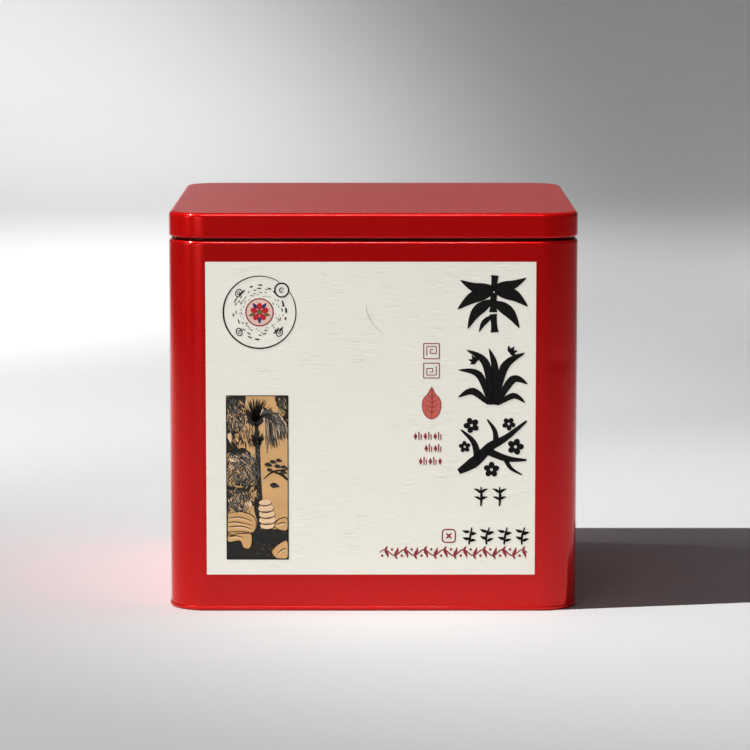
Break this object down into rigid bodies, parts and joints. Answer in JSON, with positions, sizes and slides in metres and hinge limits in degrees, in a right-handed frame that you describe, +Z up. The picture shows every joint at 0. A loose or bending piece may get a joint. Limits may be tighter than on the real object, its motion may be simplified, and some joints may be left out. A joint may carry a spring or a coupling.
{
  "type": "square tea tin",
  "caption": "Square enamelled tinplate tea tin with rounded corners, a necked body, a slip-on lid and a paper label on the front.",
  "frame": {"origin": "middle of the foot, on the surface that the tin stands on", "axes": "+Z up, -Y out of the labelled front, +X to the right of someone who faces the label"},
  "size_m": [0.1106, 0.1106, 0.1075],
  "materials": {
    "body_enamel": "glossy red stoved enamel over tinplate, bare tinplate inside",
    "base_enamel": "glossy red stoved enamel over tinplate, bare tinplate inside",
    "lid_enamel": "glossy red stoved enamel over tinplate, bare tinplate inside",
    "label_paper": "matt cream paper with streaky fibres and printed art"
  },
  "bodies": {
    "tin": {"body_wall": "body_enamel", "base_panel": "base_enamel", "front_label": "label_paper"},
    "lid": {"lid": "lid_enamel"}
  },
  "joints": [
    {"name": "lid_lift", "type": "slide", "parent": "tin", "child": "lid", "axis": [0, 0, 1], "range_m": [0, 0.06]}
  ]
}
